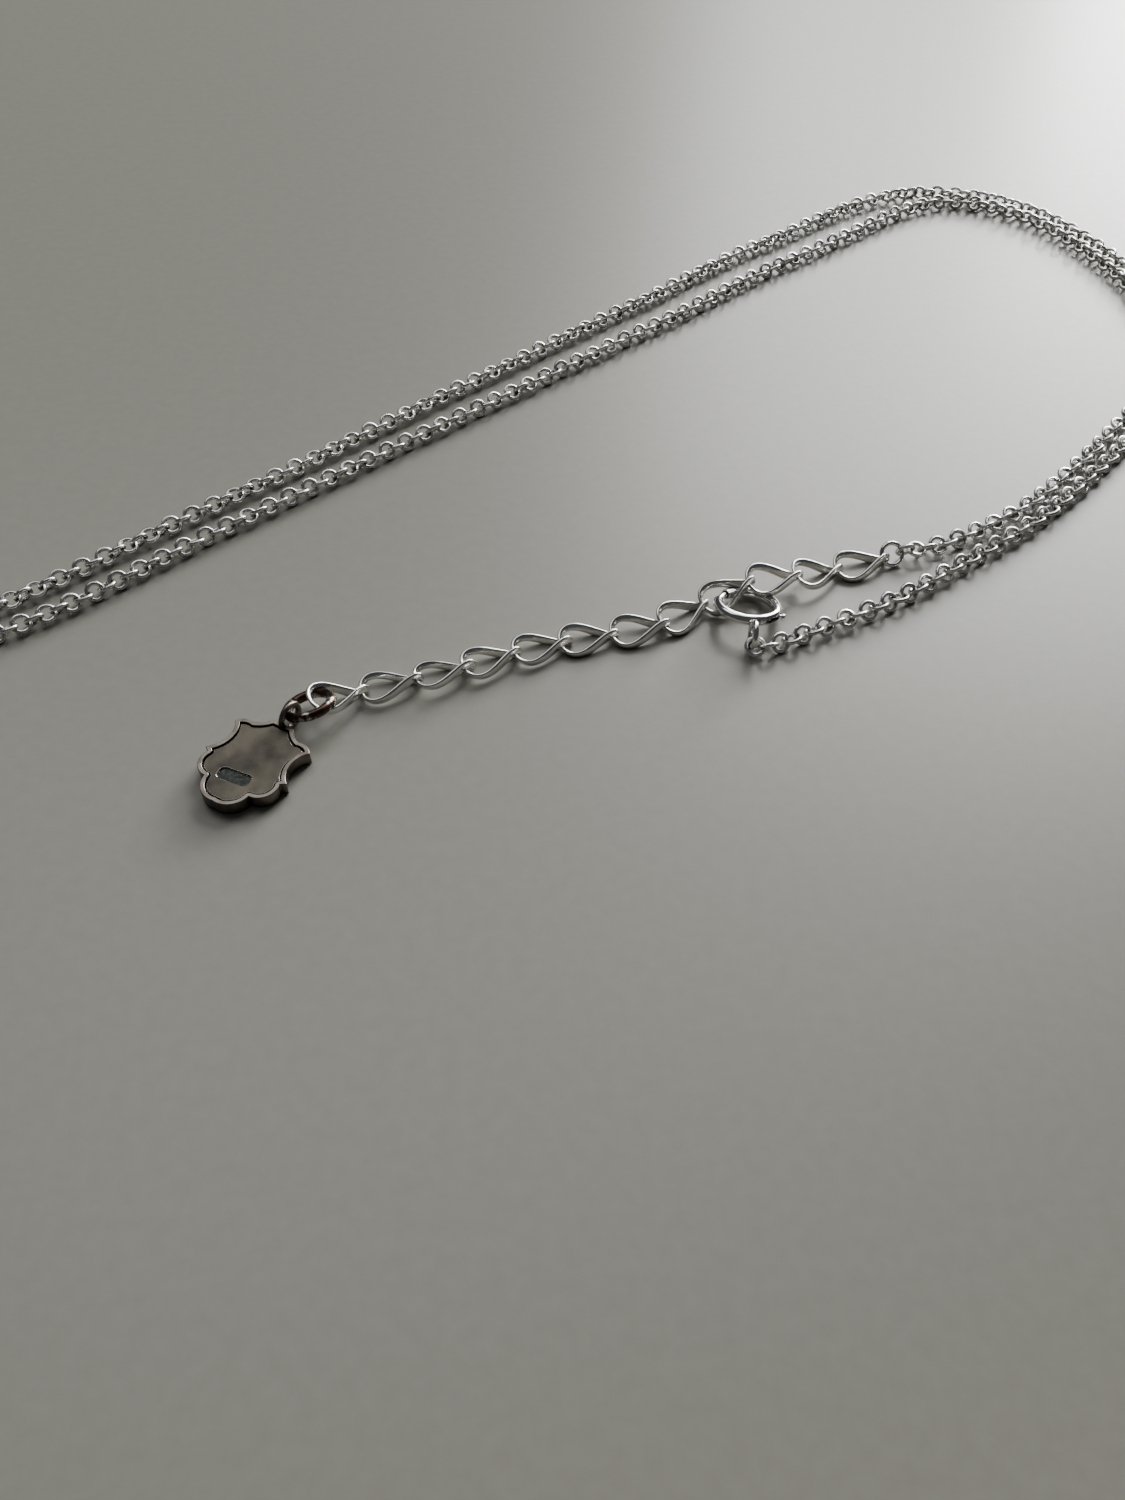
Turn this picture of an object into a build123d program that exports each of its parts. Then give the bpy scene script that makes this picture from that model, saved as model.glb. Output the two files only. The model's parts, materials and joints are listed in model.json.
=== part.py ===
"""A fine silver necklace laid down doubled: rolo chain, extender, bolt ring clasp and a small hand tag."""
import os
from math import atan2, degrees, radians, sin

from build123d import *

os.makedirs("parts", exist_ok=True)

# ---------------------------------------------------------------------------------------------
# Driving dimensions, in millimetres and degrees. +Z is up, and the necklace lies on z = 0.
# ---------------------------------------------------------------------------------------------

# Rolo chain: round links that lean to either side in turn. The steeper ones stand on the ground
ROLO_OUTER_DIAMETER = 1.90
ROLO_WIRE = 0.36
ROLO_SLACK = 0.06
ROLO_LEANS = (45, -33)
LINKS_PER_STRETCH = 15

# Extender links: wire loops with one flat wide end and one upright narrow end
EXTENDER_WIRE = 0.45
EXTENDER_LENGTH = 5.00
EXTENDER_HALF_WIDTH = 1.72
EXTENDER_HALF_HEIGHT = 0.53
WIDE_BEND = 1.10
NARROW_BEND = 0.42
END_RING_OUTER_DIAMETER = 2.40
END_RING_WIRE = 0.40

# Bolt ring clasp: a hollow ring with a sprung bolt that closes its gap
CLASP_OUTER_DIAMETER = 6.00
CLASP_TUBE = 0.95
CLASP_WALL = 0.14
BOLT_CLEARANCE = 0.06
GAP_FROM = 116
GAP_TO = 150
BOLT_TAIL = -52
BOLT_TIP = 156
SOCKET_END = 168
SPRING_FROM = 190
SPRING_TO = 262
SPRING_WIRE = 0.12
TRIGGER_ANGLE = -46
TRIGGER_TRAVEL = 42
TRIGGER_NECK = 0.34
TRIGGER_HEAD = 0.62
TRIGGER_HEAD_HEIGHT = 0.34
TRIGGER_RISE = 0.12
CLASP_EYE_OUTER_DIAMETER = 2.60
CLASP_EYE_WIRE = 0.50
CLASP_EYE_ANGLE = -106
CLASP_EYE_DROOP = 24
CLASP_EYE_SEAT = 0.22

# Tag: a small cast hand that lies face down, with a dark plate in its back
TAG_THICKNESS = 1.20
TAG_RIM = 0.36
TAG_RECESS = 0.38
PLATE_THICKNESS = 0.26
PLATE_CLEARANCE = 0.04
CARTOUCHE_LENGTH = 2.90
CARTOUCHE_WIDTH = 1.20
CARTOUCHE_CORNER = 0.42
CARTOUCHE_DEPTH = 0.08
CARTOUCHE_CENTRE = (-0.12, -7.0)
CARTOUCHE_TURN = 6
TAG_EYE_OUTER_DIAMETER = 2.60
TAG_EYE_WIRE = 0.50
JUMP_RING_OUTER_DIAMETER = 4.50
JUMP_RING_WIRE = 0.80

CLEARANCE = 0.05

# ---------------------------------------------------------------------------------------------
# How the pieces lie. The places are chosen by hand, as for any chain that is laid down.
# ---------------------------------------------------------------------------------------------

# Heading, lift of the narrow end, roll, and the slack at the narrow end, from the tag to the end ring
EXTENDER_LIES = (
    (32, -17, 19, 0.04),
    (15, 3, 16, 0.03),
    (19, 0, 9, 0.45),
    (23, -1, 19, 0.03),
    (19, -2, 19, 0.45),
    (13, 0, 26, 0.03),
    (13, 3, 27, 0.15),
    (35, -2, 34, 0.03),
    (23, 15, 29, 0.06),
    (15, -4, 31, 0.03),
    (25, -12, 25, 0.03),
    (17, 2, 26, 0.16),
)
HOOKED_LINK = 9
HOOKED_LINK_PLACE = (11.23, -27.27, 0.77)
END_RING_LIE = (20, 5, 45)
CLASP_PLACE = (14.98, -28.04, 1.18)
CLASP_LIE = (15.8, -9.3, -12.9)
JUMP_RING_PLACE = (-21.21, -40.01, 1.56)
JUMP_RING_LIE = (-4.3, 15.5, -15.5)
TAG_EYE_PLACE = (-22.66, -40.93, 1.30)
TAG_HEADING = 61

# The chain's route from the clasp's eye, out round the bend, back to the fold and home to the end ring
OUTER_STRAND = (
    (17.3, -32.1), (19.2, -31.2), (22.9, -29.4), (26.6, -27.5), (30.6, -25.1), (34.7, -22.1),
    (39.0, -19.1), (43.7, -15.4), (48.9, -10.4), (54.4, -4.5), (58.5, 0.2), (62.3, 5.4),
    (65.2, 11.5), (66.5, 18.0), (66.2, 24.5), (65.0, 30.3), (63.7, 34.2), (62.1, 37.5),
    (58.6, 43.1), (54.3, 46.8), (47.2, 49.0), (41.8, 48.8), (36.4, 46.3), (33.6, 44.5),
    (28.0, 39.9), (20.1, 33.8), (15.0, 29.3), (7.8, 22.7), (0.9, 16.8), (-6.4, 10.3),
    (-13.7, 3.9), (-21.0, -2.6), (-28.3, -9.1), (-35.0, -14.7), (-41.2, -20.1), (-47.1, -25.2),
    (-53.8, -30.1), (-59.6, -33.9),
)
FOLD = (
    (-63.3, -36.4), (-65.6, -38.3), (-66.5, -40.3), (-65.9, -42.2), (-64.1, -43.2), (-61.8, -42.5),
)
INNER_STRAND = (
    (-58.5, -39.5), (-55.1, -36.2), (-52.0, -33.2), (-49.0, -30.9), (-44.6, -27.8), (-38.8, -22.8),
    (-32.6, -17.3), (-27.7, -13.2), (-20.6, -7.2), (-13.5, -1.2), (-6.3, 4.8), (0.9, 10.9),
    (7.5, 16.4), (14.5, 22.3), (19.5, 26.9), (27.2, 33.1), (32.6, 37.4), (38.1, 41.9),
    (43.3, 45.5), (47.0, 46.7), (53.6, 44.8), (57.8, 41.1), (61.1, 35.4), (62.6, 31.9),
    (64.1, 27.0), (64.6, 21.5), (64.4, 16.5), (63.2, 11.0), (60.7, 6.2), (57.3, 1.7),
    (52.1, -4.3), (46.5, -10.3), (41.9, -14.4), (37.6, -17.2), (33.4, -19.4),
)

# Half of the tag's outline, from the wrist to the middle finger's tip, in the tag's own plane
WRIST = ((0.95, -0.85), (1.45, -1.40), (2.15, -1.80))
THUMB = ((2.15, -1.80), (3.05, -1.87), (3.65, -2.35))
PALM = ((3.65, -2.35), (3.05, -4.15), (3.95, -5.65))
OUTER_FINGER = ((3.50, -5.95), (3.45, -7.20), (2.15, -8.00))
MIDDLE_FINGER = ((2.15, -8.00), (1.55, -9.20), (0, -9.65))

# ---------------------------------------------------------------------------------------------
# Helpers
# ---------------------------------------------------------------------------------------------


def lying(place, heading=0, lift=0, roll=0):
    """A place whose x axis points along the heading, is lifted, and is then rolled about itself."""
    return Pos(*place) * Rot(0, 0, heading) * Rot(0, -lift, 0) * Rot(roll, 0, 0)


def point_on(place, *local):
    """A point of a placed piece, as a vector in the necklace's frame."""
    return (place * Location(local)).position


def write(piece, name):
    """Label a finished piece and write it to its own file."""
    piece.part.label = name
    export_step(piece.part, f"parts/{name}.step")


def ring_at(place, outer_diameter, wire):
    """A round ring of round wire, closed, at its place."""
    with BuildPart() as ring:
        with Locations(place):
            Torus((outer_diameter - wire) / 2, wire / 2)
    return ring


# ---------------------------------------------------------------------------------------------
# Extender: twelve alike links, each hooked through the one before, and a small end ring
# ---------------------------------------------------------------------------------------------

with BuildPart() as half_link:
    with BuildLine() as half_path:
        FilletPolyline(
            (0, 0, 0),
            (0, -EXTENDER_HALF_WIDTH, 0),
            (EXTENDER_LENGTH, 0, EXTENDER_HALF_HEIGHT),
            (EXTENDER_LENGTH, 0, 0),
            radius=(WIDE_BEND, NARROW_BEND),
        )
    with BuildSketch(Plane(half_path.line @ 0, z_dir=half_path.line % 0)):
        Circle(EXTENDER_WIRE / 2)
    sweep()

with BuildPart() as whole_link:
    with Locations(lying((0, 0, 0)), lying((0, 0, 0), roll=180)):
        add(half_link.part)


def hook_point(place, slack):
    """Where the next link's wide end lies inside a link's narrow end."""
    return point_on(place, EXTENDER_LENGTH - EXTENDER_WIRE - slack, 0, 0)


link_places = [None] * len(EXTENDER_LIES)
link_place = HOOKED_LINK_PLACE
for number in range(HOOKED_LINK - 1, len(EXTENDER_LIES)):
    heading, lift, roll, slack = EXTENDER_LIES[number]
    link_places[number] = lying(link_place, heading, lift, roll)
    link_place = tuple(hook_point(link_places[number], slack))
end_ring_hook = link_place

link_place = HOOKED_LINK_PLACE
for number in range(HOOKED_LINK - 2, -1, -1):
    heading, lift, roll, slack = EXTENDER_LIES[number]
    turned = lying((0, 0, 0), heading, lift, roll)
    link_place = tuple(Vector(*link_place) - hook_point(turned, slack))
    link_places[number] = lying(link_place, heading, lift, roll)

for number, place in enumerate(link_places, start=1):
    with BuildPart() as extender_link:
        with Locations(place):
            add(whole_link.part)
    write(extender_link, f"extender_link_{number:02d}")

end_ring_radius = (END_RING_OUTER_DIAMETER - END_RING_WIRE) / 2
end_ring_turned = lying((0, 0, 0), *END_RING_LIE)
end_ring_centre = Vector(*end_ring_hook) + point_on(end_ring_turned, end_ring_radius, 0, 0)
end_ring_place = lying(tuple(end_ring_centre), *END_RING_LIE)
extender_end_ring = ring_at(end_ring_place, END_RING_OUTER_DIAMETER, END_RING_WIRE)
write(extender_end_ring, "extender_end_ring")

# ---------------------------------------------------------------------------------------------
# Bolt ring clasp
# ---------------------------------------------------------------------------------------------

clasp_place = lying(CLASP_PLACE, *CLASP_LIE)
clasp_radius = (CLASP_OUTER_DIAMETER - CLASP_TUBE) / 2
clasp_axis = Axis(clasp_place.position, point_on(clasp_place, 0, 0, 1) - clasp_place.position)
bore_radius = CLASP_TUBE / 2 - CLASP_WALL
bolt_radius = bore_radius - BOLT_CLEARANCE


def clasp_section(angle, radius=clasp_radius):
    """The plane across the clasp's ring at an angle, with its x axis pointing out of the ring."""
    place = clasp_place * Rot(0, 0, angle)
    origin = point_on(place, radius, 0, 0)
    centre = clasp_place.position
    return Plane(origin, x_dir=origin - centre, z_dir=point_on(place, 0, 1, 0) - centre)


with BuildPart() as clasp_tube:
    with BuildSketch(clasp_section(GAP_TO)):
        Circle(CLASP_TUBE / 2)
        Circle(bore_radius, mode=Mode.SUBTRACT)
    revolve(axis=clasp_axis, revolution_arc=360 + GAP_FROM - GAP_TO)
    with BuildSketch(clasp_section(SOCKET_END)):
        Circle(bore_radius)
    revolve(axis=clasp_axis, revolution_arc=SPRING_FROM - SOCKET_END)
    with BuildSketch(clasp_section(TRIGGER_ANGLE - TRIGGER_TRAVEL - 5)):
        with Locations((bore_radius, 0)):
            Rectangle(CLASP_TUBE / 2, TRIGGER_NECK + 2 * BOLT_CLEARANCE)
    revolve(axis=clasp_axis, revolution_arc=TRIGGER_TRAVEL + 10, mode=Mode.SUBTRACT)
write(clasp_tube, "clasp_tube")

with BuildPart() as clasp_bolt:
    with BuildSketch(clasp_section(BOLT_TAIL)):
        Circle(bolt_radius)
    revolve(axis=clasp_axis, revolution_arc=BOLT_TIP - BOLT_TAIL)
write(clasp_bolt, "clasp_bolt")

trigger_foot = clasp_section(TRIGGER_ANGLE)
trigger_up = Plane(trigger_foot.origin, x_dir=trigger_foot.z_dir, z_dir=trigger_foot.x_dir)
trigger_top = CLASP_TUBE / 2 + TRIGGER_RISE
with BuildPart() as clasp_trigger:
    with BuildSketch(trigger_up):
        Circle(TRIGGER_NECK / 2)
    extrude(amount=trigger_top + TRIGGER_HEAD_HEIGHT / 2)
    with BuildSketch(trigger_up.offset(trigger_top)):
        Circle(TRIGGER_HEAD / 2)
    extrude(amount=TRIGGER_HEAD_HEIGHT)
    fillet(clasp_trigger.edges().filter_by(GeomType.CIRCLE).group_by(SortBy.RADIUS)[-1], TRIGGER_HEAD_HEIGHT / 2.5)
    add(clasp_bolt.part, mode=Mode.SUBTRACT)
write(clasp_trigger, "clasp_trigger")

with BuildPart() as clasp_spring:
    with BuildSketch(clasp_section(SPRING_FROM)):
        Circle(bolt_radius)
        Circle(bolt_radius - SPRING_WIRE, mode=Mode.SUBTRACT)
    revolve(axis=clasp_axis, revolution_arc=SPRING_TO - SPRING_FROM)
write(clasp_spring, "clasp_spring")

# The eye stands across the ring's wire, drooping a little from the ring's plane, on a flat soldered foot
eye_radius = (CLASP_EYE_OUTER_DIAMETER - CLASP_EYE_WIRE) / 2
eye_stem = clasp_place * Rot(0, 0, CLASP_EYE_ANGLE) * Pos(clasp_radius, 0, 0) * Rot(0, CLASP_EYE_DROOP, 0)
eye_reach = CLASP_TUBE / 2 + CLASP_EYE_OUTER_DIAMETER / 2 - CLASP_EYE_SEAT
clasp_eye_place = eye_stem * Pos(eye_reach, 0, 0) * Rot(90, 0, 0)
with BuildPart() as clasp_eye:
    with Locations(clasp_eye_place):
        Torus(eye_radius, CLASP_EYE_WIRE / 2)
    with Locations(eye_stem):
        Box(CLASP_TUBE, CLASP_EYE_OUTER_DIAMETER, CLASP_EYE_OUTER_DIAMETER, mode=Mode.SUBTRACT)
write(clasp_eye, "clasp_eye")

# ---------------------------------------------------------------------------------------------
# Tag: body, back plate, eye and jump ring
# ---------------------------------------------------------------------------------------------

tag_axes = Location((TAG_EYE_PLACE[0], TAG_EYE_PLACE[1], 0)) * Rot(0, 0, TAG_HEADING - 90)
tag_plane = Plane(tag_axes)

with BuildSketch(tag_plane) as tag_outline:
    with BuildLine():
        wrist_end = Line((0, WRIST[0][1]), WRIST[0])
        ThreePointArc(*WRIST)
        ThreePointArc(*THUMB)
        ThreePointArc(*PALM)
        Line(PALM[-1], OUTER_FINGER[0])
        ThreePointArc(*OUTER_FINGER)
        ThreePointArc(*MIDDLE_FINGER)
        Line(MIDDLE_FINGER[-1], wrist_end @ 0)
    make_face()
    mirror(about=Plane.YZ)

with BuildPart() as tag_body:
    add(tag_outline.sketch)
    extrude(amount=TAG_THICKNESS)
    with BuildSketch(tag_plane.offset(TAG_THICKNESS - TAG_RECESS)):
        add(tag_outline.sketch_local)
        offset(amount=-TAG_RIM, mode=Mode.REPLACE)
    extrude(amount=TAG_RECESS, mode=Mode.SUBTRACT)
write(tag_body, "tag_body")

with BuildPart() as tag_back_plate:
    with BuildSketch(tag_plane.offset(TAG_THICKNESS - TAG_RECESS)):
        add(tag_outline.sketch_local)
        offset(amount=-TAG_RIM - PLATE_CLEARANCE, mode=Mode.REPLACE)
    extrude(amount=PLATE_THICKNESS)
    plate_top = TAG_THICKNESS - TAG_RECESS + PLATE_THICKNESS
    with BuildSketch(tag_plane.offset(plate_top - CARTOUCHE_DEPTH)):
        with Locations(CARTOUCHE_CENTRE):
            RectangleRounded(CARTOUCHE_LENGTH, CARTOUCHE_WIDTH, CARTOUCHE_CORNER, rotation=CARTOUCHE_TURN)
    extrude(amount=CARTOUCHE_DEPTH, mode=Mode.SUBTRACT)
write(tag_back_plate, "tag_back_plate")

tag_eye_place = lying(TAG_EYE_PLACE, TAG_HEADING, roll=90)
with BuildPart() as tag_eye:
    with Locations(tag_eye_place):
        Torus((TAG_EYE_OUTER_DIAMETER - TAG_EYE_WIRE) / 2, TAG_EYE_WIRE / 2)
    add(tag_body.part, mode=Mode.SUBTRACT)
    add(tag_back_plate.part, mode=Mode.SUBTRACT)
write(tag_eye, "tag_eye")

tag_jump_ring = ring_at(lying(JUMP_RING_PLACE, *JUMP_RING_LIE), JUMP_RING_OUTER_DIAMETER, JUMP_RING_WIRE)
write(tag_jump_ring, "tag_jump_ring")

# ---------------------------------------------------------------------------------------------
# Rolo chain: one run of links from the clasp's eye to the end ring
# ---------------------------------------------------------------------------------------------

rolo_radius = (ROLO_OUTER_DIAMETER - ROLO_WIRE) / 2
rolo_pitch = ROLO_OUTER_DIAMETER - 2 * ROLO_WIRE - ROLO_SLACK
rolo_height = rolo_radius * sin(radians(ROLO_LEANS[0])) + ROLO_WIRE / 2
eye_hook = rolo_radius - (ROLO_WIRE + CLASP_EYE_WIRE) / 2 - CLEARANCE
eye_foot = point_on(clasp_eye_place * Rot(0, 0, -45), eye_radius, 0, 0)
chain_start = (eye_foot.X + eye_hook, eye_foot.Y + eye_hook * sin(radians(ROLO_LEANS[0] / 2)))
ring_hook = end_ring_radius + rolo_radius - (ROLO_WIRE + END_RING_WIRE) / 2 - CLEARANCE
chain_end = point_on(end_ring_place, ring_hook, 0, 0)

route_points = [(x, y, rolo_height) for x, y in (chain_start,) + OUTER_STRAND + FOLD + INNER_STRAND]
with BuildLine() as chain_route:
    Spline(*route_points, tuple(chain_end))
route = chain_route.edges()[0]

# An odd number of links, so the first and the last both lie across the wires that they hold
link_count = 2 * round(route.length / rolo_pitch / 2) + 1
link_step = route.length / (link_count - 1)
rolo_places = []
for number in range(link_count):
    along = number * link_step
    spot = route.position_at(along, position_mode=PositionMode.LENGTH)
    way = route.tangent_at(along, position_mode=PositionMode.LENGTH)
    rolo_places.append(lying(tuple(spot), degrees(atan2(way.Y, way.X)), roll=ROLO_LEANS[number % 2]))


def nearest_link(point, first, last):
    """The link between first and last that starts nearest to a point, seen from above."""
    flat = Vector(point.X, point.Y, rolo_height)
    return min(range(first, last), key=lambda link: (joint_before(link) - flat).length)


def joint_before(link):
    """The point where a link meets the one before it."""
    return (rolo_places[link - 1].position + rolo_places[link].position) / 2


def write_stretch(name, first, last):
    """Write the links from first up to last as one node of separate rings."""
    with BuildPart() as stretch:
        with Locations(*rolo_places[first:last]):
            Torus(rolo_radius, ROLO_WIRE / 2)
    write(stretch, name)


# The doubled chain is parted at matching stations, the first three beside the extender's own hooks
fold_link = nearest_link(Vector(*FOLD[0]), 1, link_count)
outer_cuts = [0]
for place in link_places[HOOKED_LINK + 1:]:
    outer_cuts.append(nearest_link(place.position, 1, link_count // 4))
outer_cuts.append(nearest_link(Vector(*end_ring_hook), 1, link_count // 4))
paired_from = len(outer_cuts) - 1
while outer_cuts[-1] + LINKS_PER_STRETCH * 1.5 < fold_link:
    outer_cuts.append(outer_cuts[-1] + LINKS_PER_STRETCH)
outer_cuts.append(fold_link)

inner_cuts = {paired_from: link_count}
for station in range(paired_from + 1, len(outer_cuts)):
    across = joint_before(outer_cuts[station])
    inner_cuts[station] = nearest_link(across, fold_link + LINKS_PER_STRETCH // 2, inner_cuts[station - 1])

for station in range(len(outer_cuts) - 1):
    write_stretch(f"outer_chain_{station + 1:02d}", outer_cuts[station], outer_cuts[station + 1])
    if station >= paired_from:
        write_stretch(f"inner_chain_{station + 1:02d}", inner_cuts[station + 1], inner_cuts[station])
write_stretch("chain_fold", outer_cuts[-1], inner_cuts[len(outer_cuts) - 1])

print(f"chain {route.length:.1f} mm, {link_count} links, pitch {link_step:.4f}, stations {outer_cuts} {inner_cuts}")
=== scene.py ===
"""A fine silver necklace laid down doubled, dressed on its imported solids."""

import json
import logging
import math
from dataclasses import dataclass
from enum import Enum

import bmesh
import bpy
import numpy as np
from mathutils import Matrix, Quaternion, Vector

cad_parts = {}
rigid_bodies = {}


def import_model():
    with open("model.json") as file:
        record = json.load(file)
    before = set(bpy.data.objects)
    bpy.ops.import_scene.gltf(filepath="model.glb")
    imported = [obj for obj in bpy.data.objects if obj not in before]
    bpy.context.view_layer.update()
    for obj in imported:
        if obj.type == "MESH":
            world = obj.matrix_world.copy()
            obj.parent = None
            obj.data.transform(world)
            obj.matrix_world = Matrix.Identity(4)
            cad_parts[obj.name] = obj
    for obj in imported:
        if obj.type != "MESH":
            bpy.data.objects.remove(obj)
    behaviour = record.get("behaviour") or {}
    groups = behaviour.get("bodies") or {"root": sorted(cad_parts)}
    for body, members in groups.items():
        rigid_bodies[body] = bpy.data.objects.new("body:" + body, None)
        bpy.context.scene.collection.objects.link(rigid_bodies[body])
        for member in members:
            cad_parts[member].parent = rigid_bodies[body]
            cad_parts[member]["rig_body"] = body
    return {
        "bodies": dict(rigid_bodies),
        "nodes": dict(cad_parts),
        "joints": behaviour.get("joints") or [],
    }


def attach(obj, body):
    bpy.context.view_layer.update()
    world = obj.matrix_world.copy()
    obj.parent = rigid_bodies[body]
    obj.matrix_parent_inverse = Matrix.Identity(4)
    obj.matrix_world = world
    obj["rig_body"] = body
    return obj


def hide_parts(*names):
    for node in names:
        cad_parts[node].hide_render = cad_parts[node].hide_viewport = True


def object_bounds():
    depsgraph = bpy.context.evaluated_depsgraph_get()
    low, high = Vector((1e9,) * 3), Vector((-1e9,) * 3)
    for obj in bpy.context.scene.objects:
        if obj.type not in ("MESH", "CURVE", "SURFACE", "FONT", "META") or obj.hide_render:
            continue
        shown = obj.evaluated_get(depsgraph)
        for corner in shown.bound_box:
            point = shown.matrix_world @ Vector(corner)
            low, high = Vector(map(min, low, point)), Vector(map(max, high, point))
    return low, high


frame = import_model()
CAD_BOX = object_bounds()

LOG = logging.getLogger("necklace")
MM = 0.001
TURN = 2 * math.pi
# Points of a solid that lie this close, in millimetres, are one point
MERGE_STEP = 0.0002
# Three whole steps of this many bits each make one key for a point
KEY_BITS = 21
# Faces that turn less than the first angle are one face, and edges over the second are softened
FLAT_WITHIN = 0.5
SHARP_ABOVE = 32
# How finely a lone round ring is made, along it and round its wire
RING_STEPS = 48
RING_AROUND = 16
# Where a mix node keeps its colours, after its sockets for numbers and vectors
MIX_FIRST = 6
MIX_SECOND = 7
MIX_RESULT = 2

Colour = tuple[float, float, float]


class Slot(Enum):
    """The record's material slots."""

    CHAIN = "chain_silver"
    EXTENDER = "extender_silver"
    CLASP = "clasp_silver"
    TAG = "tag_silver"
    PLATE = "dark_plate"
    OXIDISED = "oxidised_silver"
    SPRING = "spring_steel"


# ---------------------------------------------------------------------------------------------
# Finishes
# ---------------------------------------------------------------------------------------------


class Painter:
    """Lays the nodes of one material, whose patterns follow Object coordinates."""

    def __init__(self, name: str) -> None:
        """Start the material.

        Args:
            name: The material's name.
        """
        self.material = bpy.data.materials.new(name)
        self.material.use_nodes = True
        self.nodes = self.material.node_tree.nodes
        self.links = self.material.node_tree.links
        self.shader = self.nodes["Principled BSDF"]
        self.place = self.nodes.new("ShaderNodeTexCoord").outputs["Object"]

    def plain(self, colour: Colour) -> bpy.types.NodeSocket:
        """Lay one even colour.

        Args:
            colour: The colour.

        Returns:
            The colour's socket.
        """
        socket = self.nodes.new("ShaderNodeRGB").outputs[0]
        socket.default_value = (*colour, 1)
        return socket

    def noise(self, scale: float, detail: float) -> bpy.types.NodeSocket:
        """Lay a noise.

        Args:
            scale: How many patches lie in a metre.
            detail: How many finer noises lie over the first.

        Returns:
            The noise's value.
        """
        node = self.nodes.new("ShaderNodeTexNoise")
        node.inputs["Scale"].default_value = scale
        node.inputs["Detail"].default_value = detail
        self.links.new(self.place, node.inputs["Vector"])
        return node.outputs["Fac"]

    def spread(
        self, value: bpy.types.NodeSocket, low: float, high: float, to_low: float, to_high: float
    ) -> bpy.types.NodeSocket:
        """Spread one range of a value over another, held at its ends.

        Args:
            value: The value.
            low: Where the range starts.
            high: Where the range ends.
            to_low: What the start becomes.
            to_high: What the end becomes.

        Returns:
            The spread value.
        """
        node = self.nodes.new("ShaderNodeMapRange")
        ends = {"From Min": low, "From Max": high, "To Min": to_low, "To Max": to_high}
        for name, number in ends.items():
            node.inputs[name].default_value = number
        self.links.new(value, node.inputs["Value"])
        return node.outputs["Result"]

    def mixed(
        self, share: bpy.types.NodeSocket, first: bpy.types.NodeSocket, second: Colour
    ) -> bpy.types.NodeSocket:
        """Turn a colour into a second one.

        Args:
            share: How much of the second colour shows.
            first: The first colour.
            second: The second colour.

        Returns:
            The mixed colour.
        """
        node = self.nodes.new("ShaderNodeMix")
        node.data_type = "RGBA"
        self.links.new(share, node.inputs[0])
        self.links.new(first, node.inputs[MIX_FIRST])
        node.inputs[MIX_SECOND].default_value = (*second, 1)
        return node.outputs[MIX_RESULT]

    def bump(self, height: bpy.types.NodeSocket, depth: float) -> bpy.types.Node:
        """Lay a bump.

        Args:
            height: The height to follow.
            depth: How deep it goes, in millimetres.

        Returns:
            The bump's node.
        """
        node = self.nodes.new("ShaderNodeBump")
        node.inputs["Strength"].default_value = 1
        node.inputs["Distance"].default_value = depth * MM
        self.links.new(height, node.inputs["Height"])
        return node


def per_metre(size: float) -> float:
    """How many patches of a size, in millimetres, lie in a metre."""
    return 1 / (size * MM)


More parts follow.
